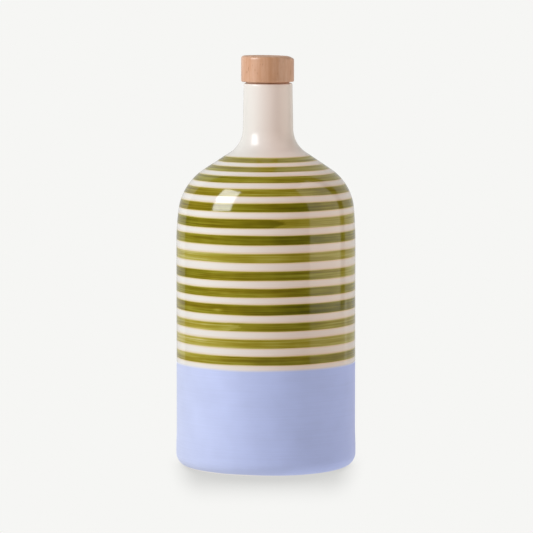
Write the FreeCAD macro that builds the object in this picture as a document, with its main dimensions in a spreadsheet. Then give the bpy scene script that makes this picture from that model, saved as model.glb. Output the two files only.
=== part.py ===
# Ceramic bottle with a wooden stopper, standing on its foot ring.
#
# The bottle is thrown stoneware: a straight drum, a round shoulder that runs out into a
# cone, a throat that sweeps up into a slightly tapered neck, and a rolled lip. The stopper
# is one turned piece of beech: a head that sits on the lip and a shank inside the mouth.
# The bottle is shut, so below the stopper's shank it is modelled solid.
#
# Millimetres and degrees, +Z up, origin on the ground at the middle of the foot.
import FreeCAD, Part

import math
import os

import Sketcher

FULL_TURN = 360
EDGE_TOLERANCE = 1e-4

# A sketch names a piece's ends by number, and its own origin as a point of piece -1.
START, END = 1, 2
ORIGIN = (-1, 1)
LEVEL_AXIS, UPRIGHT_AXIS = -1, -2

# ---------------------------------------------------------------- driving sizes

SIZES = [
    # drum and foot
    ("body_dia", 92.0, "outside diameter of the drum"),
    ("heel_swell", 0.25, "how far the heel swells out beyond the drum"),
    ("heel_top", 11.0, "height at which the swell starts to fade"),
    ("heel_fade", 7.0, "height over which the swell fades into the drum"),
    ("heel_round", 6.5, "radius from the wall to the ground"),
    ("foot_ring_width", 4.5, "width of the bare ring that the bottle stands on"),
    ("foot_recess_depth", 3.0, "how far the underside stands off the ground"),
    ("foot_ring_round", 0.8, "rounding of the ring's inner edge"),
    ("foot_recess_round", 1.2, "rounding inside the recess"),
    # shoulder, throat and neck
    ("ease_radius", 164.0, "long radius that eases the drum inwards"),
    ("ease_angle", 6.2, "how far that long radius turns"),
    ("shoulder_radius", 28.0, "radius of the shoulder"),
    ("slope_angle", 56.5, "lean of the upper shoulder from the vertical"),
    ("throat_radius", 14.5, "inside radius between the shoulder and the neck"),
    ("neck_taper", 1.0, "lean of the neck from the vertical"),
    ("neck_wall", 3.25, "wall of the neck at the lip"),
    ("lip_height", 196.6, "height of the lip, where the stopper sits"),
    ("shoulder_drop", 82.1, "depth below the lip at which the straight drum ends"),
    ("lip_round", 0.9, "rounding of the lip, outside"),
    # mouth and the stopper that fits it
    ("mouth_dia", 18.5, "bore of the mouth"),
    ("mouth_round", 0.5, "rounding of the lip, inside"),
    ("shank_clearance", 0.15, "gap all round between the shank and the bore"),
    ("shank_length", 20.0, "length of the stopper below its head"),
    ("shank_end_gap", 3.0, "room left under the shank"),
    ("shank_chamfer", 1.2, "lead-in at the end of the shank"),
    ("head_overhang", 1.05, "how far the stopper's head stands out past the lip"),
    ("head_height", 14.4, "height of the stopper's head"),
    ("head_top_round", 2.6, "rounding round the top of the head"),
    ("head_edge_round", 0.8, "rounding round the underside of the head"),
]

# Radii that meet on one face are held to this share of it, so that both still fit.
ROUND_SHARE = 0.45

# Sizes that follow from the driving ones, so that what fits together stays together.
HEEL_RADIUS = "(Sizes.body_dia / 2 + Sizes.heel_swell)"
RECESS_RADIUS = f"({HEEL_RADIUS} - Sizes.heel_round - Sizes.foot_ring_width)"
DRUM_TOP = "(Sizes.lip_height - Sizes.shoulder_drop)"
NECK_RADIUS = "(Sizes.mouth_dia / 2 + Sizes.neck_wall)"
SHANK_RADIUS = "(Sizes.mouth_dia / 2 - Sizes.shank_clearance)"
HEAD_RADIUS = f"({NECK_RADIUS} + Sizes.head_overhang)"


def makeSheet(doc):
    sheet = doc.addObject("Spreadsheet::Sheet", "Sizes")
    for row, (alias, value, note) in enumerate(SIZES, start=1):
        sheet.set(f"A{row}", alias)
        sheet.set(f"B{row}", str(value))
        sheet.set(f"C{row}", note)
        sheet.setAlias(f"B{row}", alias)
    doc.recompute()
    return sheet


# ---------------------------------------------------------------- shared helpers

def size(sheet, formula):
    return float(sheet.evalExpression(formula))


def makeBody(doc, label):
    body = doc.addObject("PartDesign::Body", label.capitalize() + "Body")
    body.Label = label
    return body


def originPlane(body, role):
    return next(item for item in body.Origin.OriginFeatures if item.Role == role)


def makeSketch(body, name, role="XZ_Plane"):
    sketch = body.newObject("Sketcher::SketchObject", name)
    sketch.AttachmentSupport = [(originPlane(body, role), "")]
    sketch.MapMode = "FlatFace"
    return sketch


def dimension(sketch, name, formula, kind, *where):
    # A named dimension that follows a formula in the sheet's values.
    value = size(sketch, formula)
    if kind == "Angle":
        value = math.radians(value)
        formula = f"({formula}) * 1 deg"
    index = sketch.addConstraint(Sketcher.Constraint(kind, *where, value))
    sketch.renameConstraint(index, name)
    sketch.setExpression(f"Constraints.{name}", formula)


def point(radius, height):
    return FreeCAD.Vector(radius, height, 0)


def line(start, end):
    return Part.LineSegment(start, end)


def arc(centre, radius, fromAngle, toAngle):
    circle = Part.Circle(centre, FreeCAD.Vector(0, 0, 1), radius)
    return Part.ArcOfCircle(circle, math.radians(fromAngle), math.radians(toAngle))


def revolve(body, sketch, name):
    turned = body.newObject("PartDesign::Revolution", name)
    turned.Profile = sketch
    turned.ReferenceAxis = (sketch, ["V_Axis"])
    turned.Angle = FULL_TURN
    body.Document.recompute()
    return turned


def ringEdge(feature, radiusFormula, heightFormula):
    # The name of the round edge of this radius at this height on the feature.
    radius = size(feature, radiusFormula)
    height = size(feature, heightFormula)
    for number, edge in enumerate(feature.Shape.Edges, start=1):
        if not isinstance(edge.Curve, Part.Circle):
            continue
        sameRadius = math.isclose(edge.Curve.Radius, radius, abs_tol=EDGE_TOLERANCE)
        sameHeight = math.isclose(edge.Curve.Center.z, height, abs_tol=EDGE_TOLERANCE)
        if sameRadius and sameHeight:
            return f"Edge{number}"
    raise RuntimeError(f"{feature.Label} has no edge of radius {radius} at height {height}")


def dressEdge(body, kind, name, radiusFormula, heightFormula, sizeFormula):
    # Rounds or chamfers one round edge of what the body holds so far.
    base = body.Tip
    dressing = body.newObject(f"PartDesign::{kind}", name)
    dressing.Base = (base, [ringEdge(base, radiusFormula, heightFormula)])
    dressing.setExpression("Radius" if kind == "Fillet" else "Size", sizeFormula)
    body.Document.recompute()
    return dressing


def bore(body, name, sketch, depthFormula, upwards):
    # A round pocket from the sketch's plane, which has to take material away.
    before = body.Shape.Volume
    pocket = body.newObject("PartDesign::Pocket", name)
    pocket.Profile = sketch
    pocket.Reversed = upwards
    pocket.setExpression("Length", depthFormula)
    body.Document.recompute()
    if body.Shape.Volume >= before:
        raise RuntimeError(f"{name} cuts nothing")
    return pocket


def circleSketch(body, name, radiusFormula, heightFormula):
    sketch = makeSketch(body, name, "XY_Plane")
    sketch.setExpression("AttachmentOffset.Base.z", heightFormula)
    radius = size(sketch, radiusFormula)
    circle, centre = 0, 3
    sketch.addGeometry(Part.Circle(point(0, 0), FreeCAD.Vector(0, 0, 1), radius))
    sketch.addConstraint(Sketcher.Constraint("Coincident", circle, centre, *ORIGIN))
    dimension(sketch, "radius", radiusFormula, "Radius", circle)
    return sketch


# ---------------------------------------------------------------- bottle

def shoulderPoints(sheet):
    # Centres and joints of the run from drum to lip, which is tangent all the way. The
    # slope between the shoulder and the throat takes up whatever length is left.
    ease, slope, taper = (math.radians(angle) for angle in
                          (sheet.ease_angle, sheet.slope_angle, sheet.neck_taper))
    lip = point(size(sheet, NECK_RADIUS), sheet.lip_height)
    drumTop = point(sheet.body_dia / 2, size(sheet, DRUM_TOP))

    def outward(angle, length):
        return point(length * math.cos(angle), length * math.sin(angle))

    easeCentre = drumTop - outward(0, sheet.ease_radius)
    easeEnd = easeCentre + outward(ease, sheet.ease_radius)
    shoulderCentre = easeEnd - outward(ease, sheet.shoulder_radius)
    shoulderEnd = shoulderCentre + outward(slope, sheet.shoulder_radius)

    throatTurn = outward(slope, sheet.throat_radius) - outward(taper, sheet.throat_radius)
    neckRun = sheet.lip_height - shoulderEnd.y - throatTurn.y
    spare = shoulderEnd.x + throatTurn.x - lip.x - neckRun * math.tan(taper)
    slopeLength = spare / (math.sin(slope) - math.cos(slope) * math.tan(taper))

    slopeEnd = shoulderEnd + point(-math.sin(slope), math.cos(slope)) * slopeLength
    throatCentre = slopeEnd + outward(slope, sheet.throat_radius)
    throatEnd = throatCentre - outward(taper, sheet.throat_radius)
    return {
        "drumTop": drumTop, "easeCentre": easeCentre, "easeEnd": easeEnd,
        "shoulderCentre": shoulderCentre, "shoulderEnd": shoulderEnd, "slopeEnd": slopeEnd,
        "throatCentre": throatCentre, "throatEnd": throatEnd, "lip": lip,
    }


def drawBottleProfile(body, sheet):
    sketch = makeSketch(body, "BottleProfile")
    at = shoulderPoints(sheet)
    heelRadius = size(sheet, HEEL_RADIUS)
    footEdge = point(heelRadius - sheet.heel_round, 0)
    heelCentre = footEdge + point(0, sheet.heel_round)
    heelLow = point(heelRadius, sheet.heel_round)
    heelHigh = point(heelRadius, sheet.heel_top)
    drumFoot = point(sheet.body_dia / 2, sheet.heel_top + sheet.heel_fade)
    lipMiddle = point(0, sheet.lip_height)

    sole, heel, heelWall, fade, drum, ease, shoulder, slope, throat, neck, lip, axis = range(12)
    sketch.addGeometry([
        line(point(0, 0), footEdge),
        arc(heelCentre, sheet.heel_round, -90, 0),
        line(heelLow, heelHigh),
        line(heelHigh, drumFoot),
        line(drumFoot, at["drumTop"]),
        arc(at["easeCentre"], sheet.ease_radius, 0, sheet.ease_angle),
        arc(at["shoulderCentre"], sheet.shoulder_radius, sheet.ease_angle, sheet.slope_angle),
        line(at["shoulderEnd"], at["slopeEnd"]),
        arc(at["throatCentre"], sheet.throat_radius, 180 + sheet.neck_taper, 180 + sheet.slope_angle),
        line(at["throatEnd"], at["lip"]),
        line(at["lip"], lipMiddle),
        line(lipMiddle, point(0, 0)),
    ])

    joins = [
        # kind, piece and its end, next piece and its end
        ("Tangent", sole, END, heel, START),
        ("Tangent", heel, END, heelWall, START),
        ("Coincident", heelWall, END, fade, START),
        ("Coincident", fade, END, drum, START),
        ("Tangent", drum, END, ease, START),
        ("Tangent", ease, END, shoulder, START),
        ("Tangent", shoulder, END, slope, START),
        ("Tangent", slope, END, throat, END),
        ("Tangent", throat, START, neck, START),
        ("Coincident", neck, END, lip, START),
        ("Coincident", lip, END, axis, START),
        ("Coincident", axis, END, sole, START),
        ("Coincident", sole, START, *ORIGIN),
    ]
    for join in joins:
        sketch.addConstraint(Sketcher.Constraint(*join))
    for level in (sole, lip):
        sketch.addConstraint(Sketcher.Constraint("Horizontal", level))
    for upright in (heelWall, drum, axis):
        sketch.addConstraint(Sketcher.Constraint("Vertical", upright))

    dimension(sketch, "heelRadius", HEEL_RADIUS, "DistanceX", *ORIGIN, heelWall, END)
    dimension(sketch, "heelRound", "Sizes.heel_round", "Radius", heel)
    dimension(sketch, "heelTop", "Sizes.heel_top", "DistanceY", *ORIGIN, heelWall, END)
    dimension(sketch, "heelFade", "Sizes.heel_fade", "DistanceY", fade, START, fade, END)
    dimension(sketch, "drumRadius", "Sizes.body_dia / 2", "DistanceX", *ORIGIN, drum, START)
    dimension(sketch, "drumTop", DRUM_TOP, "DistanceY", *ORIGIN, drum, END)
    dimension(sketch, "easeRadius", "Sizes.ease_radius", "Radius", ease)
    dimension(sketch, "easeAngle", "Sizes.ease_angle", "Angle", ease)
    dimension(sketch, "shoulderRadius", "Sizes.shoulder_radius", "Radius", shoulder)
    dimension(sketch, "slopeAngle", "90 + Sizes.slope_angle", "Angle", slope)
    dimension(sketch, "throatRadius", "Sizes.throat_radius", "Radius", throat)
    dimension(sketch, "neckAngle", "90 + Sizes.neck_taper", "Angle", neck)
    dimension(sketch, "lipRadius", NECK_RADIUS, "DistanceX", *ORIGIN, neck, END)
    dimension(sketch, "lipHeight", "Sizes.lip_height", "DistanceY", *ORIGIN, neck, END)
    return sketch


def makeBottle(doc, sheet):
    body = makeBody(doc, "bottle")
    revolve(body, drawBottleProfile(body, sheet), "ThrownForm")

    # The underside is turned away inside the foot ring.
    recess = circleSketch(body, "FootRecessOutline", RECESS_RADIUS, "0")
    bore(body, "FootRecess", recess, "Sizes.foot_recess_depth", upwards=True)
    recessWall = f"{ROUND_SHARE} * Sizes.foot_recess_depth"
    dressEdge(body, "Fillet", "FootRingRound", RECESS_RADIUS, "0",
              f"min(Sizes.foot_ring_round; {recessWall})")
    dressEdge(body, "Fillet", "FootRecessRound", RECESS_RADIUS, "Sizes.foot_recess_depth",
              f"min(Sizes.foot_recess_round; {recessWall})")

    # The mouth goes down as far as the shank needs.
    mouth = circleSketch(body, "MouthOutline", "Sizes.mouth_dia / 2", "Sizes.lip_height")
    bore(body, "Mouth", mouth, "Sizes.shank_length + Sizes.shank_end_gap", upwards=False)
    lipFace = f"{ROUND_SHARE} * Sizes.neck_wall"
    dressEdge(body, "Fillet", "LipRound", NECK_RADIUS, "Sizes.lip_height",
              f"min(Sizes.lip_round; {lipFace})")
    dressEdge(body, "Fillet", "MouthRound", "Sizes.mouth_dia / 2", "Sizes.lip_height",
              f"min(Sizes.mouth_round; {lipFace})")
    return body


# ---------------------------------------------------------------- stopper

def drawStopperProfile(body, sheet):
    # Drawn from the seat, where the underside of the head meets the lip.
    sketch = makeSketch(body, "StopperProfile")
    headRadius = size(sheet, HEAD_RADIUS)
    shankRadius = size(sheet, SHANK_RADIUS)
    corners = [
        point(0, -sheet.shank_length),
        point(shankRadius, -sheet.shank_length),
        point(shankRadius, 0),
        point(headRadius, 0),
        point(headRadius, sheet.head_height),
        point(0, sheet.head_height),
    ]
    shankEnd, shankWall, seat, headWall, headTop, axis = range(6)
    sketch.addGeometry([line(corners[i - 1], corners[i]) for i in range(1, 6)])
    sketch.addGeometry(line(corners[-1], corners[0]))

    for i in range(6):
        sketch.addConstraint(Sketcher.Constraint("Coincident", i, END, (i + 1) % 6, START))
    for level in (shankEnd, seat, headTop):
        sketch.addConstraint(Sketcher.Constraint("Horizontal", level))
    for upright in (shankWall, headWall, axis):
        sketch.addConstraint(Sketcher.Constraint("Vertical", upright))
    sketch.addConstraint(Sketcher.Constraint("PointOnObject", axis, START, UPRIGHT_AXIS))
    sketch.addConstraint(Sketcher.Constraint("PointOnObject", seat, START, LEVEL_AXIS))

    dimension(sketch, "shankRadius", SHANK_RADIUS, "DistanceX", *ORIGIN, seat, START)
    dimension(sketch, "headRadius", HEAD_RADIUS, "DistanceX", *ORIGIN, seat, END)
    dimension(sketch, "headHeight", "Sizes.head_height", "DistanceY", *ORIGIN, headTop, END)
    dimension(sketch, "shankLength", "Sizes.shank_length", "DistanceY", shankEnd, END, *ORIGIN)
    return sketch


def makeStopper(doc, sheet):
    body = makeBody(doc, "stopper")
    revolve(body, drawStopperProfile(body, sheet), "TurnedForm")
    headSide = f"{ROUND_SHARE} * Sizes.head_height"
    dressEdge(body, "Fillet", "HeadTopRound", HEAD_RADIUS, "Sizes.head_height",
              f"min(Sizes.head_top_round; {headSide})")
    dressEdge(body, "Fillet", "HeadEdgeRound", HEAD_RADIUS, "0",
              "min(Sizes.head_edge_round; Sizes.head_overhang)")
    dressEdge(body, "Chamfer", "ShankLeadIn", SHANK_RADIUS, "-Sizes.shank_length",
              "Sizes.shank_chamfer")

    body.setExpression("Placement.Base.z", "Sizes.lip_height")
    doc.recompute()
    return body


# ---------------------------------------------------------------- build and save

def checkDocument(doc):
    for item in doc.Objects:
        if "Invalid" in item.State or "Error" in item.State:
            raise RuntimeError(f"{item.Label} failed: {item.State}")
        if item.isDerivedFrom("Sketcher::SketchObject") and item.solve() != 0:
            raise RuntimeError(f"{item.Label} does not solve")


def savePart(body):
    shape = body.Shape
    if shape.isNull() or not shape.isValid() or len(shape.Solids) != 1:
        raise RuntimeError(f"{body.Label} is not one valid solid")
    shape.exportStep(f"parts/{body.Label}.step")
    box = shape.optimalBoundingBox(False)
    print(f"{body.Label}: {box.XLength:.2f} x {box.YLength:.2f} x {box.ZLength:.2f} mm, "
          f"z {box.ZMin:.2f} to {box.ZMax:.2f}, {shape.Volume / 1000:.1f} cm3")


doc = FreeCAD.newDocument("CeramicBottle")
sheet = makeSheet(doc)
bodies = [makeBottle(doc, sheet), makeStopper(doc, sheet)]
doc.recompute()
checkDocument(doc)

os.makedirs("parts", exist_ok=True)
for body in bodies:
    savePart(body)
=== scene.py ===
import math
import random

import bmesh
import bpy
import numpy as np
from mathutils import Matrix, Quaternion, Vector


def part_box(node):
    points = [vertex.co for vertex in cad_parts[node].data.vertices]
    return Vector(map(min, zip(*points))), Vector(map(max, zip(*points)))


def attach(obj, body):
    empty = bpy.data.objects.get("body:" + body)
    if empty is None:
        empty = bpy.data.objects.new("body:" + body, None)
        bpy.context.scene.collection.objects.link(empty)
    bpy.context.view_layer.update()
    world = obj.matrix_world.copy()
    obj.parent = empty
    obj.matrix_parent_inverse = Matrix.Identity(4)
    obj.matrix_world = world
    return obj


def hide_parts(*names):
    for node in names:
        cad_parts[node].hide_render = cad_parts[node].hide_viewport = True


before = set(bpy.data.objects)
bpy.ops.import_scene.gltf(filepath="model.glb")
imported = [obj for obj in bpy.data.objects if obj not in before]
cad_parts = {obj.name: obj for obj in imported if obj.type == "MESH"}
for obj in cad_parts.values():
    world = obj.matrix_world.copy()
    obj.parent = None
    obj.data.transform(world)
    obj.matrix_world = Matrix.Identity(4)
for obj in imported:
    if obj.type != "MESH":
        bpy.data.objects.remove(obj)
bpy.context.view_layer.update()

mm = 0.001  # sizes that are written in millimetres are multiplied by this once


def linear(hexCode):
    # sRGB hex to the linear colour that shaders take
    parts = [int(hexCode[i:i + 2], 16) / 255 for i in (1, 3, 5)]
    return (*[p / 12.92 if p <= 0.04045 else ((p + 0.055) / 1.055) ** 2.4 for p in parts], 1.0)


def addNode(tree, kind, links=None, **settings):
    # one node with its settings; links gives an input a plain value, a socket to join, or
    # a node whose first output it joins
    node = tree.nodes.new(kind)
    for name, value in settings.items():
        setattr(node, name, value)
    for name, source in (links or {}).items():
        if isinstance(source, bpy.types.Node):
            source = source.outputs[0]
        if isinstance(source, bpy.types.NodeSocket):
            tree.links.new(source, node.inputs[name])
        else:
            node.inputs[name].default_value = source
    return node


def newMaterial(name):
    material = bpy.data.materials.new(name)
    material.use_nodes = True
    material.node_tree.nodes.clear()
    return material, material.node_tree


def linkToScene(name, data):
    thing = bpy.data.objects.new(name, data)
    bpy.context.scene.collection.objects.link(thing)
    return thing


# the camera stands a little above the stopper and looks slightly down; metres
view = {
    "distance": 1.783,
    "eyeHeight": 0.2667,
    "aimHeight": 0.1025,
    "aimAside": 0.0003,
    "lens": 235.6,
}


def placeCamera():
    data = bpy.data.cameras.new("camera")
    data.lens = view["lens"]
    camera = linkToScene("camera", data)
    eye = Vector((view["aimAside"], -view["distance"], view["eyeHeight"]))
    aim = Vector((view["aimAside"], 0, view["aimHeight"]))
    camera.location = eye
    camera.rotation_euler = (aim - eye).to_track_quat("-Z", "Y").to_euler()
    bpy.context.scene.camera = camera
    bpy.context.scene.view_settings.view_transform = "Standard"


placeCamera()
print("camera placed")


# a pale table in a pale room: one window light high on the left, one tall panel on the
# right with a faint skirt under it, and a soft fill by the camera; metres
studio = {
    "paper": "#f6f6f4",
    "tableRadius": 0.45,
    "tableSteps": 160,
    "wallWay": (0.0, 0.95, 0.3),    # from the table towards the middle of the glowing wall
    "hideReach": 0.5,               # how far off a thing can stand and still hide the wall
    "hideSamples": 24,
    "shadowDepth": 0.63,            # how dark the table goes where the wall is wholly hidden
    "shadowMost": 0.3,              # and no darker than this
    "shadowReach": (0.045, 0.142),  # in front, where it begins to fade and where it is gone
    "shadowAside": (0.036, 0.053),  # the same to either side
    "shadowTaper": 0.07,            # how fast it narrows forward
    "roomGlow": 0.05,
    "tableBounce": (0.95, 0.79),    # what the table throws back up, at the left and the right; less on the right is painted shade from the bottle
    "bounceReach": 0.06,            # how far to either side that change takes
    "wallGlow": 0.92,
    "wallEdge": 0.59,               # how far round the glowing wall comes, and its soft edge
    "wallSoft": 0.02,
    "wallTurn": 0.05,               # a little further round on the right
    "wallLift": 0.3,                # it bends forward overhead by this much of the height
    "wallCurve": 3.0,               # raised to this power
    "wallMirrored": 0.62,           # how bright it is in the glaze
    "lampCentre": 0.14,             # height of the shoulder, which the lamps are set from
    "windowDistance": 1.2,
    "windowAround": 64.5,           # degrees round to the left from the front
    "windowRise": 0.69,             # of its distance, as its size is too
    "windowSize": (0.545, 0.88),
    "windowTip": 0.33,              # how far it leans over the bottle
    "windowRoll": 7.0,              # degrees that it is turned in its own plane
    "windowGlow": 8.35,
    "windowColour": "#f8fbff",
    "panelAside": 0.50,
    "panelDepth": (-0.335, 0.16),   # nearest and furthest edge
    "panelHeight": (0.032, 0.95),
    "panelGlow": 0.94,
    "panelColour": "#fff9ef",       # the skirt's too
    "skirtDepth": (-0.335, 0.34),   # it runs on behind the panel
    "skirtHeight": (-0.03, 0.032),
    "skirtGlow": 0.5,
    "fillAround": 22.0,             # degrees; too soft a lamp to show in the glaze
    "fillRise": 0.5,
    "fillSize": (1.0, 1.0),
    "fillGlow": 0.6,
    "fillColour": "#ffffff",
}


def lightRoom():
    world = bpy.data.worlds.new("paleRoom")
    bpy.context.scene.world = world
    world.use_nodes = True
    tree = world.node_tree
    tree.nodes.clear()
    # the paper wall behind glows up to where it bends overhead; the room in front is dim
    way = addNode(tree, "ShaderNodeTexCoord").outputs["Generated"]
    axes = addNode(tree, "ShaderNodeSeparateXYZ", {0: way}).outputs
    lift = addNode(tree, "ShaderNodeMath", {0: axes["Z"], 1: studio["wallCurve"]},
                   operation="POWER")
    turned = addNode(tree, "ShaderNodeMath",
                     {0: axes["X"], 1: studio["wallTurn"], 2: axes["Y"]},
                     operation="MULTIPLY_ADD")
    bend = addNode(tree, "ShaderNodeMath", {0: lift, 1: studio["wallLift"], 2: turned},
                   operation="MULTIPLY_ADD")
    edge, soft = studio["wallEdge"], studio["wallSoft"]
    wall = addNode(tree, "ShaderNodeMapRange",
                   {"Value": bend, "From Min": edge - soft, "From Max": edge + soft},
                   interpolation_type="SMOOTHSTEP")
    # the eye sees paper everywhere, reflections see it where the wall stands
    path = addNode(tree, "ShaderNodeLightPath").outputs
    mirrored = addNode(tree, "ShaderNodeMath",
                       {0: path["Is Glossy Ray"], 1: path["Is Transmission Ray"]},
                       operation="ADD")
    mirrored = addNode(tree, "ShaderNodeMath", {0: mirrored, 1: wall}, operation="MULTIPLY")
    mirrored = addNode(tree, "ShaderNodeMath", {0: mirrored, 1: path["Is Camera Ray"]},
                       operation="ADD", use_clamp=True)
    # soft light from below the horizon is what a table throws back
    below = addNode(tree, "ShaderNodeMath", {0: axes["Z"], 1: 0.0}, operation="LESS_THAN")
    below = addNode(tree, "ShaderNodeMath", {0: below, 1: path["Is Diffuse Ray"]},
                    operation="MULTIPLY")
    dim = addNode(tree, "ShaderNodeMapRange",
                  {"Value": below, "To Min": studio["roomGlow"],
                   "To Max": sum(studio["tableBounce"]) / 2})
    glow = addNode(tree, "ShaderNodeMapRange",
                   {"Value": wall, "To Min": dim, "To Max": studio["wallGlow"]})
    room = addNode(tree, "ShaderNodeBackground", {"Color": (1, 1, 1, 1), "Strength": glow})
    bright = addNode(tree, "ShaderNodeMapRange",
                     {"Value": path["Is Camera Ray"], "To Min": studio["wallMirrored"],
                      "To Max": 1.0})
    paper = addNode(tree, "ShaderNodeBackground",
                    {"Color": linear(studio["paper"]), "Strength": bright})
    mix = addNode(tree, "ShaderNodeMixShader", {0: mirrored, 1: room, 2: paper})
    addNode(tree, "ShaderNodeOutputWorld", {"Surface": mix})


def addPanelLight(name, centre, facing, size, glow, colour, lit, roll=0.0, mirrored=True):
    data = bpy.data.lights.new(name, "AREA")
    data.shape = "RECTANGLE"
    data.size, data.size_y = size
    data.energy = glow * math.pi * size[0] * size[1]   # watts that give it this brightness
    data.color = linear(colour)[:3]
    light = linkToScene(name, data)
    light.location = centre
    turn = Vector(facing).to_track_quat("-Z", "Y") @ Quaternion((0, 0, 1), math.radians(roll))
    light.rotation_euler = turn.to_euler()
    light.visible_camera = False
    light.visible_glossy = mirrored
    light.light_linking.receiver_collection = lit


def addLights():
    # all four lamps are flagged off the table, which shows only the soft shadow painted into its
    # glow
    lit = bpy.data.collections.new("litByLamps")
    shoulder = Vector((0, 0, studio["lampCentre"]))
    distance = studio["windowDistance"]

    around = math.radians(studio["windowAround"])
    away = Vector((-math.sin(around), -math.cos(around), 0))
    addPanelLight("windowLight",
                  shoulder + distance * (away + Vector((0, 0, studio["windowRise"]))),
                  -away - Vector((0, 0, studio["windowTip"])),
                  [distance * side for side in studio["windowSize"]],
                  studio["windowGlow"], studio["windowColour"], lit, studio["windowRoll"])

    around = math.radians(studio["fillAround"])
    away = Vector((-math.sin(around), -math.cos(around), studio["fillRise"]))
    addPanelLight("softFill", shoulder + distance * away, -away, studio["fillSize"],
                  studio["fillGlow"], studio["fillColour"], lit, mirrored=False)

    for name in ("panel", "skirt"):
        near, far = studio[name + "Depth"]
        low, high = studio[name + "Height"]
        centre = Vector((studio["panelAside"], (near + far) / 2, (low + high) / 2))
        addPanelLight(name, centre, (-1, 0, 0), (far - near, high - low),
                      studio[name + "Glow"], studio["panelColour"], lit)
    return lit


# matt white paper, drawn as a glow: it shows the eye an even, unlit white, with the bottle's
# shadow painted into that glow
def buildTablePaper():
    material, tree = newMaterial("tablePaper")
    place = addNode(tree, "ShaderNodeTexCoord").outputs["Object"]
    axes = addNode(tree, "ShaderNodeSeparateXYZ", {0: place}).outputs
    # painted shadow: the wall behind stands for the table's light, so the glow dims where
    # something hides the wall from it
    back = addNode(tree, "ShaderNodeCombineXYZ", dict(enumerate(studio["wallWay"])))
    hidden = addNode(tree, "ShaderNodeAmbientOcclusion",
                     {"Distance": studio["hideReach"], "Normal": back},
                     samples=studio["hideSamples"])
    shade = addNode(tree, "ShaderNodeMath", {0: 1.0, 1: hidden.outputs["AO"]},
                    operation="SUBTRACT")
    # it fades forward and to the sides
    aside = addNode(tree, "ShaderNodeMath", {0: axes["X"]}, operation="ABSOLUTE")
    forward = addNode(tree, "ShaderNodeMath", {0: axes["Y"], 1: -1.0}, operation="MULTIPLY")
    aside = addNode(tree, "ShaderNodeMath",
                    {0: forward, 1: studio["shadowTaper"], 2: aside},
                    operation="MULTIPLY_ADD")
    depth = studio["shadowDepth"]
    for way, key in ((aside, "shadowAside"), (forward, "shadowReach")):
        start, end = studio[key]
        fade = addNode(tree, "ShaderNodeMapRange",
                       {"Value": way, "From Min": start, "From Max": end,
                        "To Min": 1.0, "To Max": 0.0}, interpolation_type="SMOOTHSTEP")
        depth = addNode(tree, "ShaderNodeMath", {0: fade, 1: depth}, operation="MULTIPLY")
    shade = addNode(tree, "ShaderNodeMath", {0: shade, 1: depth}, operation="MULTIPLY")
    shade = addNode(tree, "ShaderNodeMath", {0: shade, 1: studio["shadowMost"]},
                    operation="MINIMUM")
    glow = addNode(tree, "ShaderNodeMath", {0: 1.0, 1: shade}, operation="SUBTRACT")
    # the eye and the glaze see that, and soft light gets the table's bounce
    path = addNode(tree, "ShaderNodeLightPath").outputs
    seen = addNode(tree, "ShaderNodeMath",
                   {0: path["Is Camera Ray"], 1: path["Is Glossy Ray"]}, operation="ADD")
    seen = addNode(tree, "ShaderNodeMath", {0: seen, 1: path["Is Transmission Ray"]},
                   operation="ADD", use_clamp=True)
    left, right = studio["tableBounce"]
    bounce = addNode(tree, "ShaderNodeMapRange",
                     {"Value": axes["X"], "From Min": -studio["bounceReach"],
                      "From Max": studio["bounceReach"], "To Min": left, "To Max": right})
    glow = addNode(tree, "ShaderNodeMapRange",
                   {"Value": seen, "To Min": bounce, "To Max": glow})
    paper = addNode(tree, "ShaderNodeEmission",
                    {"Color": linear(studio["paper"]), "Strength": glow})
    addNode(tree, "ShaderNodeOutputMaterial", {"Surface": paper})
    return material


def layTable():
    form = bmesh.new()
    bmesh.ops.create_circle(form, cap_ends=True, segments=studio["tableSteps"],
                            radius=studio["tableRadius"])
    data = bpy.data.meshes.new("table")
    form.to_mesh(data)
    form.free()
    data.materials.append(buildTablePaper())
    linkToScene("table", data)


lightRoom()
litByLamps = addLights()
layTable()
print("studio lit")


# the lathe turns an outline about the upright axis, as the wheel and the wood lathe do
lathe = {
    "turnSteps": 240,
    "ringSpacing": 0.75 * mm,
    "seamGap": 0.001 * mm,
    "leastSteps": 4,             # in a rounded corner
    "feelRange": (0.25, 0.75),   # the noise where the wall is truest and where it is furthest in
    "truest": 0.9992,            # of the radius
    "wobbleSeed": 3.7,
}


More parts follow.
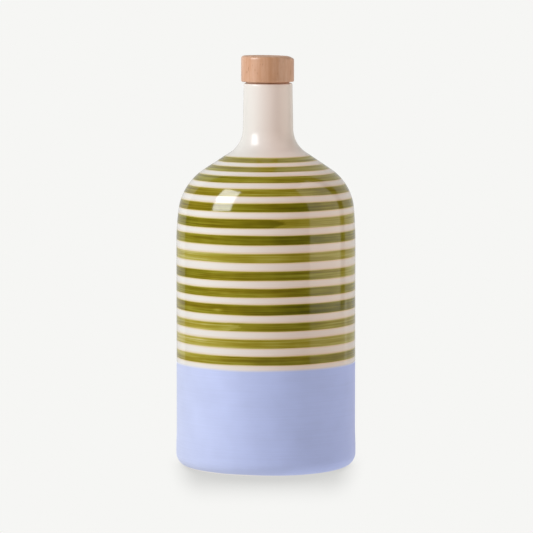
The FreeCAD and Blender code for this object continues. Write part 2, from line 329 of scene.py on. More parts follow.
def buildLathe():
    tree = bpy.data.node_groups.new("lathe", "GeometryNodeTree")
    face = tree.interface
    for name, kind in (("Outline", "Geometry"), ("Turn Steps", "Int"),
                       ("Ring Spacing", "Float"), ("Wobble", "Float"),
                       ("Wobble Scale", "Float"), ("Wobble Seed", "Float"),
                       ("Lean", "Float"), ("Lean From", "Float"), ("Lean To", "Float"),
                       ("Surface", "Material")):
        face.new_socket(name, in_out="INPUT", socket_type="NodeSocket" + kind)
    face.new_socket("Turned", in_out="OUTPUT", socket_type="NodeSocketGeometry")
    given = addNode(tree, "NodeGroupInput").outputs

    # round the outline's corners, then cut its straight stretches into rings
    path = addNode(tree, "GeometryNodeMeshToCurve", {"Mesh": given["Outline"]})
    cornerRound = addNode(tree, "GeometryNodeInputNamedAttribute", {"Name": "cornerRound"},
                          data_type="FLOAT").outputs["Attribute"]
    cornerSteps = addNode(tree, "GeometryNodeInputNamedAttribute", {"Name": "cornerSteps"},
                          data_type="INT").outputs["Attribute"]
    rounded = addNode(tree, "GeometryNodeFilletCurve",
                      {"Curve": path, "Count": cornerSteps, "Radius": cornerRound,
                       "Limit Radius": True}, mode="POLY")
    here = addNode(tree, "GeometryNodeInputPosition").outputs[0]
    order = addNode(tree, "GeometryNodeInputIndex").outputs[0]
    nextOne = addNode(tree, "ShaderNodeMath", {0: order, 1: 1.0}, operation="ADD")
    nextPlace = addNode(tree, "GeometryNodeFieldAtIndex", {"Index": nextOne, "Value": here},
                        data_type="FLOAT_VECTOR", domain="POINT")
    stretch = addNode(tree, "ShaderNodeVectorMath", {0: here, 1: nextPlace},
                      operation="DISTANCE")
    cuts = addNode(tree, "ShaderNodeMath",
                   {0: stretch.outputs["Value"], 1: given["Ring Spacing"]},
                   operation="DIVIDE")
    outline = addNode(tree, "GeometryNodeSubdivideCurve", {"Curve": rounded, "Cuts": cuts})
    rings = addNode(tree, "GeometryNodeAttributeDomainSize", {0: outline},
                    component="CURVE").outputs["Point Count"]

    # a flat grid becomes the skin: one way along it is the outline, the other is the turn
    columns = addNode(tree, "ShaderNodeMath", {0: given["Turn Steps"], 1: 1.0},
                      operation="ADD")
    grid = addNode(tree, "GeometryNodeMeshGrid", {"Vertices X": columns, "Vertices Y": rings})
    column = addNode(tree, "ShaderNodeMath", {0: order, 1: rings}, operation="DIVIDE")
    column = addNode(tree, "ShaderNodeMath", {0: column}, operation="FLOOR")
    ring = addNode(tree, "ShaderNodeMath", {0: order, 1: rings}, operation="MODULO")
    length = addNode(tree, "GeometryNodeSplineParameter").outputs["Length"]
    spot = addNode(tree, "GeometryNodeSampleIndex",
                   {"Geometry": outline, "Value": here, "Index": ring},
                   data_type="FLOAT_VECTOR", domain="POINT")
    run = addNode(tree, "GeometryNodeSampleIndex",
                  {"Geometry": outline, "Value": length, "Index": ring},
                  data_type="FLOAT", domain="POINT")
    share = addNode(tree, "ShaderNodeMath", {0: column, 1: given["Turn Steps"]},
                    operation="DIVIDE")
    angle = addNode(tree, "ShaderNodeMath", {0: share, 1: math.tau}, operation="MULTIPLY")
    across = addNode(tree, "ShaderNodeMath", {0: angle}, operation="COSINE")
    along = addNode(tree, "ShaderNodeMath", {0: angle}, operation="SINE")
    axes = addNode(tree, "ShaderNodeSeparateXYZ", {0: spot}).outputs

    # hands leave the wall a little uneven, more where it is wide
    wheel = addNode(tree, "ShaderNodeCombineXYZ", {0: across, 1: along, 2: 0.0})
    high = addNode(tree, "ShaderNodeMath",
                   {0: axes["Z"], 1: given["Wobble Scale"], 2: given["Wobble Seed"]},
                   operation="MULTIPLY_ADD")
    drift = addNode(tree, "ShaderNodeCombineXYZ", {0: 0.0, 1: 0.0, 2: high})
    feel = addNode(tree, "ShaderNodeVectorMath", {0: wheel, 1: drift}, operation="ADD")
    noise = addNode(tree, "ShaderNodeTexNoise", {"Vector": feel, "Scale": 1.0, "Detail": 1.0})
    loss = addNode(tree, "ShaderNodeMath", {0: 1.0, 1: given["Wobble"]},
                   operation="SUBTRACT")
    low, top = lathe["feelRange"]
    keep = addNode(tree, "ShaderNodeMapRange",
                   {"Value": noise, "From Min": low, "From Max": top,
                    "To Min": lathe["truest"], "To Max": loss})
    radius = addNode(tree, "ShaderNodeMath", {0: axes["X"], 1: keep}, operation="MULTIPLY")
    lean = addNode(tree, "ShaderNodeMapRange",
                   {"Value": axes["Z"], "From Min": given["Lean From"],
                    "From Max": given["Lean To"], "To Min": 0.0, "To Max": given["Lean"]},
                   interpolation_type="SMOOTHSTEP")
    x = addNode(tree, "ShaderNodeMath", {0: radius, 1: across, 2: lean},
                operation="MULTIPLY_ADD")
    y = addNode(tree, "ShaderNodeMath", {0: radius, 1: along}, operation="MULTIPLY")
    place = addNode(tree, "ShaderNodeCombineXYZ", {0: x, 1: y, 2: axes["Z"]})

    skin = addNode(tree, "GeometryNodeSetPosition", {"Geometry": grid, "Position": place})
    skin = addNode(tree, "GeometryNodeStoreNamedAttribute",
                   {"Geometry": skin, "Name": "run", "Value": run},
                   data_type="FLOAT", domain="POINT")
    skin = addNode(tree, "GeometryNodeMergeByDistance",
                   {"Geometry": skin, "Distance": lathe["seamGap"]})
    skin = addNode(tree, "GeometryNodeSetShadeSmooth", {"Geometry": skin})
    skin = addNode(tree, "GeometryNodeRealizeInstances", {"Geometry": skin})
    skin = addNode(tree, "GeometryNodeSetMaterial",
                   {"Geometry": skin, "Material": given["Surface"]})
    addNode(tree, "NodeGroupOutput", {"Turned": skin})
    return tree


latheTree = buildLathe()


def turnPiece(name, corners, surface, wobble, wobbleScale, lean):
    # corners run from the lower middle to the upper middle: radius, height and rounding, in
    # metres; lean is how far the top moves aside, and the heights it begins and ends at
    outline = bpy.data.meshes.new(name + "Outline")
    outline.from_pydata([(radius, 0, height) for radius, height, _ in corners],
                        [(i, i + 1) for i in range(len(corners) - 1)], [])
    rounds = outline.attributes.new("cornerRound", "FLOAT", "POINT")
    steps = outline.attributes.new("cornerSteps", "INT", "POINT")
    for i, (radius, height, rounding) in enumerate(corners):
        rounds.data[i].value = rounding
        turn = 0.0
        if 0 < i < len(corners) - 1:
            before = Vector((radius - corners[i - 1][0], height - corners[i - 1][1]))
            after = Vector((corners[i + 1][0] - radius, corners[i + 1][1] - height))
            turn = before.angle(after)
        steps.data[i].value = max(lathe["leastSteps"],
                                  math.ceil(rounding * turn / lathe["ringSpacing"]))

    blank = linkToScene(name + "Blank", outline)
    turning = blank.modifiers.new("lathe", "NODES")
    turning.node_group = latheTree
    values = {
        "Turn Steps": lathe["turnSteps"], "Ring Spacing": lathe["ringSpacing"],
        "Wobble": wobble, "Wobble Scale": wobbleScale, "Wobble Seed": lathe["wobbleSeed"],
        "Lean": lean[0], "Lean From": lean[1], "Lean To": lean[2], "Surface": surface,
    }
    for socket in latheTree.interface.items_tree:
        if socket.in_out == "INPUT" and socket.name in values:
            turning[socket.identifier] = values[socket.name]
    depsgraph = bpy.context.evaluated_depsgraph_get()
    turned = bpy.data.meshes.new_from_object(blank.evaluated_get(depsgraph))
    bpy.data.objects.remove(blank)

    # faces point outwards
    form = bmesh.new()
    form.from_mesh(turned)
    if form.calc_volume(signed=True) < 0:
        bmesh.ops.reverse_faces(form, faces=form.faces[:])
    form.to_mesh(turned)
    form.free()
    turned.name = name
    return linkToScene(name, turned)


def readPoints(mesh):
    places = np.zeros(len(mesh.vertices) * 3)
    mesh.vertices.foreach_get("co", places)
    return places.reshape(-1, 3)


def readNumbers(mesh, name):
    numbers = np.zeros(len(mesh.vertices))
    mesh.attributes[name].data.foreach_get("value", numbers)
    return numbers


def writeNumbers(mesh, name, numbers):
    layer = mesh.attributes.get(name) or mesh.attributes.new(name, "FLOAT", "POINT")
    layer.data.foreach_set("value", np.asarray(numbers, dtype=np.float32))


# thrown stoneware; what the frame does not give is in millimetres, and angles in degrees
bottle = {
    "heelSwell": 0.25, "heelTop": 11.0, "heelFade": 7.0, "heelRound": 6.5, "fadeRound": 60.0,
    "footRingWidth": 4.5, "footRecess": 3.0, "footRingRound": 0.8, "footRecessRound": 1.2,
    "easeRadius": 164.0, "easeAngle": 6.2,
    "shoulderRadius": 28.0, "slopeAngle": 56.5,
    "throatRadius": 14.5, "neckTaper": 1.0, "neckWall": 3.25,
    "shoulderDrop": 82.1, "lipRound": 0.9, "mouthRound": 0.5,
    "mouthDia": 18.5, "mouthDepth": 23.0,
    "wobble": 0.0022,       # of the radius
    "wobbleScale": 22.0,    # times in a metre of height
    "lean": 1.1, "leanFrom": 118.0, "leanTo": 168.0,
}


def bottleCorners():
    low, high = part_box("bottle")
    b = bottle
    heel = (high.x - low.x) / 2 / mm
    lipHeight = high.z / mm
    drum = heel - b["heelSwell"]
    foot = heel - b["heelRound"]
    recess = foot - b["footRingWidth"]
    mouth = b["mouthDia"] / 2
    neck = mouth + b["neckWall"]

    # the run from drum to lip turns through three tangent arcs, so each corner lies where
    # two straight runs would meet; a turn of radius r takes r * tan(half the turn) of each
    ease, slope, taper = (math.radians(b[key])
                          for key in ("easeAngle", "slopeAngle", "neckTaper"))
    easeReach = b["easeRadius"] * math.tan(ease / 2)
    shoulderReach = b["shoulderRadius"] * math.tan((slope - ease) / 2)
    easeWay = Vector((-math.sin(ease), math.cos(ease)))
    slopeWay = Vector((-math.sin(slope), math.cos(slope)))
    easeCorner = Vector((drum, lipHeight - b["shoulderDrop"] + easeReach))
    shoulderCorner = easeCorner + easeWay * (easeReach + shoulderReach)
    # the slope is as long as it takes to meet the neck's line
    neckFoot = neck + (lipHeight - shoulderCorner.y) * math.tan(taper)
    slopeLength = (shoulderCorner.x - neckFoot) / (math.sin(slope)
                                                   - math.cos(slope) * math.tan(taper))
    throatCorner = shoulderCorner + slopeWay * slopeLength

    corners = [
        (0, b["footRecess"], 0),
        (recess, b["footRecess"], b["footRecessRound"]),
        (recess, 0, b["footRingRound"]),
        (heel, 0, b["heelRound"]),
        (heel, b["heelTop"], b["fadeRound"]),
        (drum, b["heelTop"] + b["heelFade"], b["fadeRound"]),
        (*easeCorner, b["easeRadius"]),
        (*shoulderCorner, b["shoulderRadius"]),
        (*throatCorner, b["throatRadius"]),
        (neck, lipHeight, b["lipRound"]),
        (mouth, lipHeight, b["mouthRound"]),
        (mouth, lipHeight - b["mouthDepth"], 0),
        (0, lipHeight - b["mouthDepth"], 0),
    ]
    return [[value * mm for value in corner] for corner in corners]


# each stripe is one turn of a loaded brush: its height along the wall and its width in
# millimetres, the coats of colour it leaves at the left, the front, just past the front and
# the right, and where the brush set down (degrees round to the right of the front), which
# is where one load laps over the other; most laps are at the back
stripes = [
    (167.5, 4.3, 0.72, 0.78, 0.80, 0.74, 170),
    (159.8, 4.3, 0.76, 0.78, 0.80, 0.70, 200),
    (151.9, 4.5, 0.82, 0.76, 0.82, 0.78, 150),
    (144.0, 4.3, 0.82, 0.74, 0.72, 0.84, 185),
    (136.0, 4.4, 0.87, 0.95, 1.30, 0.92, 140),
    (128.0, 4.8, 0.94, 1.06, 0.68, 0.68, 3),
    (119.6, 4.8, 0.85, 1.00, 1.22, 1.02, 215),
    (110.7, 4.7, 0.47, 0.64, 0.70, 0.58, 150),
    (101.7, 4.8, 0.88, 0.87, 0.86, 0.74, 190),
    (93.2, 4.5, 0.81, 0.90, 0.97, 0.88, 230),
    (84.7, 5.3, 0.85, 1.08, 1.42, 1.16, 205),
    (76.0, 4.3, 0.54, 0.80, 1.00, 0.72, -25),
    (67.6, 4.7, 0.40, 0.59, 0.59, 0.56, 120),
    (58.95, 4.45, 0.62, 1.03, 0.93, 0.88, 130),
]
brush = {
    "around": (-90, -42, 0, 24, 42, 90),   # degrees: far left, the four coats' places, far right
    "farLeft": 1.08,         # of the coat at the left, and of the coat at the right
    "farRight": 0.84,
    "tilt": 0.19,            # mm that every stripe rises at the right
    "edgeWander": 0.16,      # mm, slow wander of each edge
    "edgeWaves": (2, 3, 5, 8),
    "upperSoft": 0.7,        # the upper edge is softer, as the cream drew its colour up a little
    "ownReach": 2.4,         # mm beyond its edge that a stripe's own coat counts
    "tipLength": 10.0,       # degrees over which the lap comes to a point
    "lapSoft": 1.2,          # degrees across which its edge blends
    "lapReach": 30,          # degrees to either side before the usual coat is back
    "lapInFront": 60,        # a lap nearer the front than this steps from one coat to the next
    "lapStart": 1.25,        # further round, the full brush and the spent one, of the usual coat
    "lapEnd": 0.8,
    "thinSpots": (           # degrees round, height, then how wide, how tall and how much
        (-32, 84.2, 3.5, 0.8, 0.5), (-36, 93.8, 5.0, 0.9, 0.22), (-27, 93.0, 4.0, 0.6, 0.2),
    ),
    "dipLine": 53.9,         # mm above the ground where the blue dip ends
    "dipWander": 0.25,
    "footLine": 0.5,         # mm above the ground where the dip was wiped off the foot
    "footWander": 0.25,
    "footWaves": (3, 5, 9, 14),
    "footTilt": 0.75,        # mm higher at the left than at the front
    "footHeight": 20,        # mm, nothing is wiped above this
    "plainHeight": (30, 100),   # mm, where the wall is straight, and a radius that it exceeds
    "plainRadius": 40,
    "shadeWarmAround": 30,        # degrees round where the painted warm shade is strongest, and how far that spreads
    "shadeWarmSpread": 50,
    "shadeDeepTurn": 15,          # degrees that the painted shade's deeper blue is turned forward from the right
    "seed": 11,
}


def slowWander(chance, angle, size, waves):
    # a closed, slow wander round the wheel
    total = np.zeros_like(angle)
    for wave in waves:
        swing = math.sqrt(2 / wave) * chance.uniform(0.4, 1)
        total += swing * np.sin(wave * angle + chance.uniform(0, math.tau))
    return size * total / len(waves) ** 0.5


def shortWay(lap):
    # degrees brought between -180 and 180
    return (lap + 180) % 360 - 180


def paintStripes(chance, angle, wall, tilt):
    # how far each point lies inside the nearest stripe, in mm, and that stripe's coat
    degrees = np.degrees(angle)
    inside = np.full(len(wall), -9.0)
    coat = np.zeros(len(wall))
    for height, width, left, front, past, right, setDown in stripes:
        middle = height + tilt
        upper, lower = (middle + side * width / 2
                        + slowWander(chance, angle, brush["edgeWander"], brush["edgeWaves"])
                        for side in (1, -1))
        depth = np.minimum((upper - wall) * brush["upperSoft"], wall - lower)
        back = (left + right) / 2
        load = np.interp(degrees, (-180, *brush["around"], 180),
                         (back, left * brush["farLeft"], left, front, past, right,
                          right * brush["farRight"], back))
        # the brush comes to a point where it lifts off over its own start
        across = np.clip(np.abs(wall - middle) / (width / 2), 0, 1)
        lap = shortWay(degrees - setDown - brush["tipLength"] * (1 - across))
        step = np.clip(lap / brush["lapSoft"], -0.5, 0.5) + 0.5
        near = np.clip(1 - np.abs(lap) / brush["lapReach"], 0, 1)
        if abs(setDown) < brush["lapInFront"]:
            before, after = (left, front) if setDown < 0 else (front, past)
        else:
            before, after = load * brush["lapStart"], load * brush["lapEnd"]
        load = load * (1 - near) + (before * (1 - step) + after * step) * near
        mine = depth > np.maximum(inside, -brush["ownReach"])
        inside = np.maximum(inside, depth)
        coat = np.where(mine, load, coat)

    for around, height, wide, tall, share in brush["thinSpots"]:
        spot = ((degrees - around) / wide) ** 2 + ((wall - height) / tall) ** 2
        coat *= 1 - share * np.exp(-spot)
    return inside, coat


def paintBottle(mesh):
    # where each colour lies is kept on the mesh as numbers, in mm unless it is a share
    chance = random.Random(brush["seed"])
    places = readPoints(mesh) / mm
    run = readNumbers(mesh, "run") / mm
    height = places[:, 2]
    angle = np.arctan2(places[:, 0], -places[:, 1])   # 0 at the front, growing to the right
    low, high = brush["plainHeight"]
    onDrum = (height > low) & (height < high)
    onDrum &= np.hypot(places[:, 0], places[:, 1]) > brush["plainRadius"]
    wall = run - np.median((run - height)[onDrum])    # height counted along the wall
    tilt = brush["tilt"] * np.sin(angle)
    inside, coat = paintStripes(chance, angle, wall, tilt)

    dip = (brush["dipLine"] + tilt
           + slowWander(chance, angle, brush["dipWander"], brush["edgeWaves"]) - wall)
    wiped = (height - brush["footLine"]
             - slowWander(chance, angle, brush["footWander"], brush["footWaves"])
             + brush["footTilt"] * np.sin(angle))
    wiped = np.where(wall < brush["footHeight"], wiped, brush["footHeight"])
    # painted shade: the cream is painted warmer and the dry olive browner round to the right of
    # the front, where the light is weakest
    shadeWarmth = (np.degrees(angle) - brush["shadeWarmAround"]) / brush["shadeWarmSpread"]
    # painted shade: the blue is painted deeper towards the right, the less lit side
    shadeDeep = 0.5 + 0.5 * np.sin(angle + math.radians(brush["shadeDeepTurn"]))
    for name, numbers in (("inside", inside), ("coat", coat), ("wall", wall), ("dip", dip),
                          ("wiped", wiped), ("shadeWarm", np.exp(-shadeWarmth ** 2)),
                          ("slipShadeDeep", shadeDeep)):
        writeNumbers(mesh, name, numbers)


# glazed stoneware: a cream glaze over pale clay, glassy enough to mirror the window, with
# olive glaze brushed on in streaky stripes that darken where they lie thick, and a satin
# blue slip on the lower third that mirrors nothing; the foot is bare matt clay
glaze = {
    "cream": ("#eae5dd", "#f6e1d5"),      # painted shade: the cream is warmer round to the right of the front, where the light is weakest
    "creamUnder": 0.5,                    # how much of that painted warm shade lies under the olive
    "blue": ("#c6cdea", "#bfcbff"),       # the slip where it is lit, and where it is painted deeper as shade
    "clay": "#faf6f2",
    "rim": "#faeeda",                     # dims the cream beside a stripe
    "rimReach": (-1.0, -0.1),             # mm inside a stripe's edge where it starts and is full
    "oliveEdge": (-0.25, 0.45),           # the same for the olive
    "oliveTint": (0.226, 0.214, 0.0060),  # what one full coat of olive lets through
    "oliveMost": 1.5,                     # coats
    "tintSteps": 12,
    "greener": (0.93, 0.99, 1, 1),
    "browner": (1.08, 0.93, 0.9, 1),
    "brownRange": (0.35, 0.65),
    "brownDry": 0.6,                      # how much a spent brush and its gaps add to the brown
    "brownGaps": 0.5,
    "dryBrush": (0.5, 2.4),               # coats, and how bold the streaks are there
    "wetBrush": (1.1, 1.3),
    "streaks": (38.46, 0.8, 3.0, 0.6),    # mm long and mm apart, then detail and roughness
    "patches": (45.45, 9.09, 2.0, 0.5),   # the same, where the olive fires greener or browner
    "poolSize": 16.667,                   # mm
    "poolRange": (0.3, 0.7),
    "poolDepth": 0.12,
    "slipMottle": 0.035,                  # how much pools and the dip's drag change the blue
    "slipDrag": 0.025,
    "dragRange": (0.25, 0.75),
    "dipEdge": (-0.9, 0.7),               # mm
    "wipedEdge": 0.25,
    "glassRoughness": 0.09,
    "glassShine": 0.5,
    "neckFrom": (170.0, 175.0),           # mm up, where the glaze ran thin and is softer
    "neckRoughness": 0.25,
    "slipRoughness": 0.5,
    "slipShine": 0.38,
    "clayRoughness": 0.85,
    "glazeIor": 1.6,
}


# in both materials a colour Mix node takes its colours at inputs 6 and 7, and gives output 2
def buildGlaze():
    material, tree = newMaterial("glazedStoneware")
    g = glaze
    fields = {
        name: addNode(tree, "ShaderNodeAttribute", attribute_name=name).outputs["Fac"]
        for name in ("inside", "coat", "wall", "dip", "wiped", "shadeWarm", "slipShadeDeep")
    }
    place = addNode(tree, "ShaderNodeTexCoord").outputs["Object"]

    # a field in mm turned to a share, with soft ends
    blends = {}
    for name, field, (start, end) in (
            ("edge", "inside", g["oliveEdge"]), ("bleed", "inside", g["rimReach"]),
            ("dipped", "dip", g["dipEdge"]),
            ("glazed", "wiped", (-g["wipedEdge"], g["wipedEdge"]))):
        blends[name] = addNode(tree, "ShaderNodeMapRange",
                               {"Value": fields[field], "From Min": start, "From Max": end},
                               interpolation_type="SMOOTHSTEP")

    # brush hairs leave streaks under a millimetre apart that run round for centimetres, and
    # the kiln's patches lie the same way
    noises = {}
    for name in ("streaks", "patches"):
        length, apart, detail, roughness = g[name]
        turns = 1 / (length * mm)
        spread = addNode(tree, "ShaderNodeVectorMath", {0: place, 1: (turns, turns, 0.0)},
                         operation="MULTIPLY")
        up = addNode(tree, "ShaderNodeMath", {0: fields["wall"], 1: 1 / apart},
                     operation="MULTIPLY")
        up = addNode(tree, "ShaderNodeCombineXYZ", {2: up})
        spot = addNode(tree, "ShaderNodeVectorMath", {0: spread, 1: up}, operation="ADD")
        noises[name] = addNode(tree, "ShaderNodeTexNoise",
                               {"Vector": spot, "Scale": 1.0, "Detail": detail,
                                "Roughness": roughness})
    pools = addNode(tree, "ShaderNodeTexNoise",
                    {"Vector": place, "Scale": 1 / (g["poolSize"] * mm), "Detail": 2.0})

    # how thick the olive lies: by the load on the brush, between hairs, which show bolder as
    # the brush runs dry, and where it pooled
    dry, wet = g["dryBrush"], g["wetBrush"]
    bold = addNode(tree, "ShaderNodeMapRange",
                   {"Value": fields["coat"], "From Min": dry[0], "From Max": wet[0],
                    "To Min": dry[1], "To Max": wet[1]})
    uneven = addNode(tree, "ShaderNodeMath", {0: noises["streaks"], 1: 0.5},
                     operation="SUBTRACT")
    uneven = addNode(tree, "ShaderNodeMath", {0: uneven, 1: bold, 2: 1.0},
                     operation="MULTIPLY_ADD")
    low, high = g["poolRange"]
    pooled = addNode(tree, "ShaderNodeMapRange",
                     {"Value": pools, "From Min": low, "From Max": high,
                      "To Min": 1 - g["poolDepth"], "To Max": 1 + g["poolDepth"]},
                     clamp=False)
    thick = fields["coat"]
    for part in (uneven, pooled, blends["edge"]):
        thick = addNode(tree, "ShaderNodeMath", {0: thick, 1: part}, operation="MULTIPLY")
    share = addNode(tree, "ShaderNodeMath", {0: thick, 1: g["oliveMost"]},
                    operation="DIVIDE", use_clamp=True)
    # a coloured glaze dims each colour by its tint, once for every coat light goes through
    tint = addNode(tree, "ShaderNodeValToRGB", {0: share})
    stops = tint.color_ramp.elements
    for i in range(g["tintSteps"] + 1):
        stop = (stops[0] if i == 0 else stops[-1] if i == g["tintSteps"]
                else stops.new(i / g["tintSteps"]))
        coats = g["oliveMost"] * i / g["tintSteps"]
        stop.color = (*[part ** coats for part in g["oliveTint"]], 1)

    # it fires greener in one place and browner in the next, and browner between its hairs; where
    # the brush ran dry it goes browner only on the side of the warm painted shade, so that brown
    # is partly painted shade
    dry = addNode(tree, "ShaderNodeMath",
                  {0: fields["coat"], 1: -g["brownDry"], 2: g["brownDry"]},
                  operation="MULTIPLY_ADD")
    dry = addNode(tree, "ShaderNodeMath",
                  {0: dry, 1: fields["shadeWarm"], 2: noises["patches"]},
                  operation="MULTIPLY_ADD")
    dry = addNode(tree, "ShaderNodeMath", {0: uneven, 1: g["brownGaps"], 2: dry},
                  operation="MULTIPLY_ADD")
    dry = addNode(tree, "ShaderNodeMath", {0: dry, 1: g["brownGaps"]}, operation="SUBTRACT")
    low, high = g["brownRange"]
    brown = addNode(tree, "ShaderNodeMapRange",
                    {"Value": dry, "From Min": low, "From Max": high})
    fired = addNode(tree, "ShaderNodeMix", {0: brown, 6: g["greener"], 7: g["browner"]},
                    data_type="RGBA")
    fired = addNode(tree, "ShaderNodeMix", {0: share, 6: (1, 1, 1, 1), 7: fired.outputs[2]},
                    data_type="RGBA")
    tint = addNode(tree, "ShaderNodeMix", {0: 1.0, 6: tint, 7: fired.outputs[2]},
                   data_type="RGBA", blend_type="MULTIPLY")

    # the cream, painted warmer on the side in shade, which the olive's iron bleeds into for a
    # millimetre as a thin yellow rim
    warm = addNode(tree, "ShaderNodeMapRange",
                   {"Value": blends["edge"], "To Min": fields["shadeWarm"],
                    "To Max": g["creamUnder"]})
    cool, warmest = (linear(tone) for tone in g["cream"])
    cream = addNode(tree, "ShaderNodeMix", {0: warm, 6: cool, 7: warmest}, data_type="RGBA")
    beside = addNode(tree, "ShaderNodeMath", {0: 1.0, 1: blends["edge"]},
                     operation="SUBTRACT")
    bleed = addNode(tree, "ShaderNodeMath", {0: blends["bleed"], 1: beside},
                    operation="MULTIPLY")
    cream = addNode(tree, "ShaderNodeMix",
                    {0: bleed, 6: cream.outputs[2], 7: linear(g["rim"])},
                    data_type="RGBA", blend_type="MULTIPLY")
    colour = addNode(tree, "ShaderNodeMix",
                     {0: 1.0, 6: cream.outputs[2], 7: tint.outputs[2]},
                     data_type="RGBA", blend_type="MULTIPLY")

    # the blue dip, painted deeper as shade towards the right, with a soft upper edge, and the
    # bare foot
    pale, shadeDeep = (linear(tone) for tone in g["blue"])
    blue = addNode(tree, "ShaderNodeMix", {0: fields["slipShadeDeep"], 6: pale, 7: shadeDeep},
                   data_type="RGBA").outputs[2]
    for noise, (low, high), change in ((pools, g["poolRange"], g["slipMottle"]),
                                       (noises["streaks"], g["dragRange"], g["slipDrag"])):
        slip = addNode(tree, "ShaderNodeMapRange",
                       {"Value": noise, "From Min": low, "From Max": high,
                        "To Min": 1 - change, "To Max": 1 + change}, clamp=False)
        blue = addNode(tree, "ShaderNodeVectorMath", {0: blue, "Scale": slip},
                       operation="SCALE")
    colour = addNode(tree, "ShaderNodeMix",
                     {0: blends["dipped"], 6: colour.outputs[2], 7: blue}, data_type="RGBA")
    colour = addNode(tree, "ShaderNodeMix",
                     {0: blends["glazed"], 6: linear(g["clay"]), 7: colour.outputs[2]},
                     data_type="RGBA")

    rough = addNode(tree, "ShaderNodeMapRange",
                    {"Value": blends["dipped"], "To Min": g["glassRoughness"],
                     "To Max": g["slipRoughness"]})
    rough = addNode(tree, "ShaderNodeMapRange",
                    {"Value": blends["glazed"], "To Min": g["clayRoughness"],
                     "To Max": rough})
    low, high = g["neckFrom"]
    thin = addNode(tree, "ShaderNodeMapRange",
                   {"Value": fields["wall"], "From Min": low, "From Max": high,
                    "To Max": g["neckRoughness"]})
    rough = addNode(tree, "ShaderNodeMath", {0: rough, 1: thin}, operation="MAXIMUM")
    shine = addNode(tree, "ShaderNodeMapRange",
                    {"Value": blends["dipped"], "To Min": g["glassShine"],
                     "To Max": g["slipShine"]})
    surface = addNode(tree, "ShaderNodeBsdfPrincipled",
                      {"Base Color": colour.outputs[2], "Roughness": rough,
                       "IOR": g["glazeIor"], "Specular IOR Level": shine})
    addNode(tree, "ShaderNodeOutputMaterial", {"Surface": surface})
    return material


bottlePiece = turnPiece("glazedBottle", bottleCorners(), buildGlaze(),
                        bottle["wobble"], bottle["wobbleScale"],
                        [bottle[key] * mm for key in ("lean", "leanFrom", "leanTo")])
paintBottle(bottlePiece.data)
print("bottle thrown and painted:", len(bottlePiece.data.polygons), "faces")


# turned in one piece, with a relief under the rim so that it seats on the inner edge of the
# lip; millimetres
stopper = {
    "headTopRound": 1.5, "headEdgeRound": 0.7, "shankChamfer": 1.2,
    "shankDia": 18.2, "seatDia": 22.4, "relief": 0.7, "topTrim": 0.35,
    "wobble": 0.002,        # of the radius
    "wobbleScale": 60.0,    # times in a metre of height
    "setAside": 0.85,       # it follows the neck's lean
    "setFrom": -2000.0,     # both below the ground, so that the whole of it is set aside
    "setTo": -1000.0,
    "topDrop": 0.5,         # how far the top falls away at the right, where it was sanded
    "edgeWear": 0.9,        # how much more the edge is rubbed down there
    "wearFrom": 0.88,       # of the way across, where that begins
    "wearTop": 8,           # the higher, the nearer the top it stays
}
# waxed beech: warm and satin, with fine upright fibres in soft bands, short dark ray flecks,
# and growth rings on the end grain, which is darker and takes less polish
beech = {
    "pale": "#e3ba9e",
    "dark": "#c9916c",
    "heart": "#c08860",
    "fleck": "#96633f",
    "roughness": 0.29,
    "fibreWidth": 0.6667,        # mm, as coarse as it needs to show; the real ones are finer
    "bandWidth": 3.846,
    "fibreStretch": 10,          # how much longer than wide
    "fibreTone": 1.1,            # how much each takes the wood from pale to dark
    "bandTone": 0.9,
    "toneShift": -0.5,
    "fleckWidth": 1.4286,
    "fleckStretch": 2.857,
    "fleckRange": (0.69, 0.77),
    "fleckMost": 0.6,
    "grainDepth": 0.2,           # mm
    "grainStrength": 0.1,
    "endGrain": ("#d4a98c", "#b98d6d"),
    "endTurn": (0.6, 0.95),      # how squarely a face looks up before it is end grain
    "endRoughness": 0.75,
    "pith": (21.0, 34.0, 0.0),   # mm, the middle of the trunk, which the growth rings run round
    "growth": 2.1,               # mm, one year
    "lateRange": (-0.2, 1.0),
    "lateMost": 0.7,
    "figure": (                  # degrees round, width, strength
        (-4, 14, 0.35), (10, 5, 0.45), (22, 10, 0.4), (44, 10, 0.2), (96, 20, 0.5),
        (171, 16, 0.8), (-100, 12, 0.7),
    ),
}


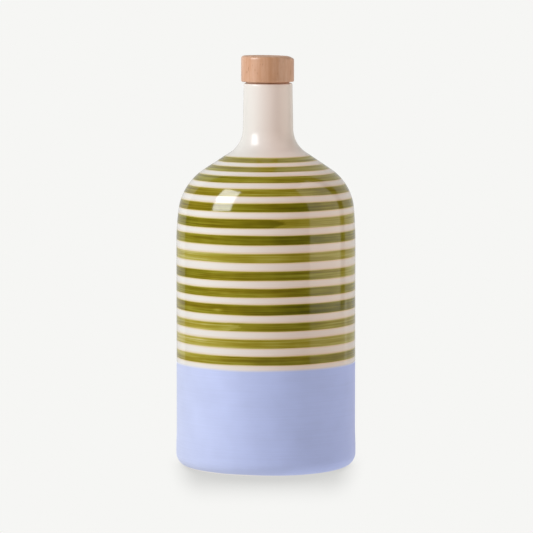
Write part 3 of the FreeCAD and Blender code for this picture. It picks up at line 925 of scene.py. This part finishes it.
def buildBeech():
    material, tree = newMaterial("turnedBeech")
    b = beech
    place = addNode(tree, "ShaderNodeTexCoord").outputs["Object"]
    heart = addNode(tree, "ShaderNodeAttribute", attribute_name="heart").outputs["Fac"]
    fibreWay = addNode(tree, "ShaderNodeMapping",
                       {"Vector": place, "Scale": (1.0, 1.0, 1 / b["fibreStretch"])})
    fibres = addNode(tree, "ShaderNodeTexNoise",
                     {"Vector": fibreWay, "Scale": 1 / (b["fibreWidth"] * mm),
                      "Detail": 3.0, "Roughness": 0.6})
    bands = addNode(tree, "ShaderNodeTexNoise",
                    {"Vector": fibreWay, "Scale": 1 / (b["bandWidth"] * mm), "Detail": 2.0})
    tone = addNode(tree, "ShaderNodeMath", {0: bands, 1: b["bandTone"], 2: b["toneShift"]},
                   operation="MULTIPLY_ADD")
    tone = addNode(tree, "ShaderNodeMath", {0: fibres, 1: b["fibreTone"], 2: tone},
                   operation="MULTIPLY_ADD", use_clamp=True)
    # ray flecks: short dark dashes along the grain
    fleckWay = addNode(tree, "ShaderNodeMapping",
                       {"Vector": place, "Scale": (1.0, 1.0, 1 / b["fleckStretch"])})
    flecks = addNode(tree, "ShaderNodeTexNoise",
                     {"Vector": fleckWay, "Scale": 1 / (b["fleckWidth"] * mm), "Detail": 1.0})
    low, high = b["fleckRange"]
    fleck = addNode(tree, "ShaderNodeMapRange",
                    {"Value": flecks, "From Min": low, "From Max": high,
                     "To Max": b["fleckMost"]})
    colour = linear(b["pale"])
    for share, key in ((tone, "dark"), (heart, "heart"), (fleck, "fleck")):
        colour = addNode(tree, "ShaderNodeMix", {0: share, 6: colour, 7: linear(b[key])},
                         data_type="RGBA").outputs[2]
    grain = addNode(tree, "ShaderNodeBump",
                    {"Height": fibres, "Strength": b["grainStrength"],
                     "Distance": b["grainDepth"] * mm})

    # the end grain on top
    facing = addNode(tree, "ShaderNodeNewGeometry").outputs["Normal"]
    facing = addNode(tree, "ShaderNodeSeparateXYZ", {0: facing}).outputs["Z"]
    low, high = b["endTurn"]
    end = addNode(tree, "ShaderNodeMapRange",
                  {"Value": facing, "From Min": low, "From Max": high},
                  interpolation_type="SMOOTHSTEP")
    rough = addNode(tree, "ShaderNodeMapRange",
                    {"Value": end, "To Min": b["roughness"], "To Max": b["endRoughness"]})
    flat = addNode(tree, "ShaderNodeVectorMath", {0: place, 1: (1.0, 1.0, 0.0)},
                   operation="MULTIPLY")
    growth = addNode(tree, "ShaderNodeVectorMath",
                     {0: flat, 1: [part * mm for part in b["pith"]]},
                     operation="DISTANCE").outputs["Value"]
    growth = addNode(tree, "ShaderNodeMath",
                     {0: growth, 1: math.tau / (b["growth"] * mm), 2: bands},
                     operation="MULTIPLY_ADD")
    growth = addNode(tree, "ShaderNodeMath", {0: growth}, operation="SINE")
    low, high = b["lateRange"]
    growth = addNode(tree, "ShaderNodeMapRange",
                     {"Value": growth, "From Min": low, "From Max": high,
                      "To Max": b["lateMost"]})
    early, late = (linear(shade) for shade in b["endGrain"])
    endGrain = addNode(tree, "ShaderNodeMix", {0: growth, 6: early, 7: late},
                       data_type="RGBA")
    colour = addNode(tree, "ShaderNodeMix", {0: end, 6: colour, 7: endGrain.outputs[2]},
                     data_type="RGBA")
    surface = addNode(tree, "ShaderNodeBsdfPrincipled",
                      {"Base Color": colour.outputs[2], "Roughness": rough, "Normal": grain})
    addNode(tree, "ShaderNodeOutputMaterial", {"Surface": surface})
    return material


def stopperCorners():
    low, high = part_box("stopper")
    s = stopper
    head = (high.x - low.x) / 2 / mm
    top = high.z / mm - s["topTrim"]
    end = low.z / mm
    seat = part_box("bottle")[1].z / mm
    rim = seat + s["relief"]
    shank = s["shankDia"] / 2
    inner = s["seatDia"] / 2
    corners = [
        (0, end, 0),
        (shank - s["shankChamfer"], end, 0),
        (shank, end + s["shankChamfer"], 0),
        (shank, seat, 0),
        (inner, seat, 0),
        (inner, rim, 0),
        (head, rim, s["headEdgeRound"]),
        (head, top, s["headTopRound"]),
        (0, top, 0),
    ]
    return [[value * mm for value in corner] for corner in corners]


def finishStopper(mesh):
    # the top was sanded a little out of square, lower on the right, and its edge is worn there
    places = readPoints(mesh)
    seat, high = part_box("bottle")[1].z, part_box("stopper")[1]
    up = np.clip((places[:, 2] - seat) / (high.z - seat), 0, 1)
    share = np.clip((places[:, 0] + high.x) / (2 * high.x), 0, 1)
    worn = np.clip((share - stopper["wearFrom"]) / (1 - stopper["wearFrom"]), 0, 1)
    places[:, 2] -= stopper["topDrop"] * mm * share ** 2 * up ** 2
    places[:, 2] -= stopper["edgeWear"] * mm * worn ** 2 * up ** stopper["wearTop"]
    mesh.vertices.foreach_set("co", places.ravel())
    mesh.update()

    # darker figure runs up it in a few places
    degrees = np.degrees(np.arctan2(places[:, 0], -places[:, 1]))
    heart = np.zeros(len(degrees))
    for around, wide, strong in beech["figure"]:
        heart += strong * np.exp(-(shortWay(degrees - around) / wide) ** 2)
    writeNumbers(mesh, "heart", np.clip(heart, 0, 1))


stopperPiece = turnPiece("beechStopper", stopperCorners(), buildBeech(),
                         stopper["wobble"], stopper["wobbleScale"],
                         [stopper[key] * mm for key in ("setAside", "setFrom", "setTo")])
finishStopper(stopperPiece.data)
print("stopper turned:", len(stopperPiece.data.polygons), "faces")

for piece, node, slot in ((bottlePiece, "bottle", "glazed_stoneware"),
                          (stopperPiece, "stopper", "beech")):
    litByLamps.objects.link(piece)
    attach(piece, "root")
    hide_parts(node)
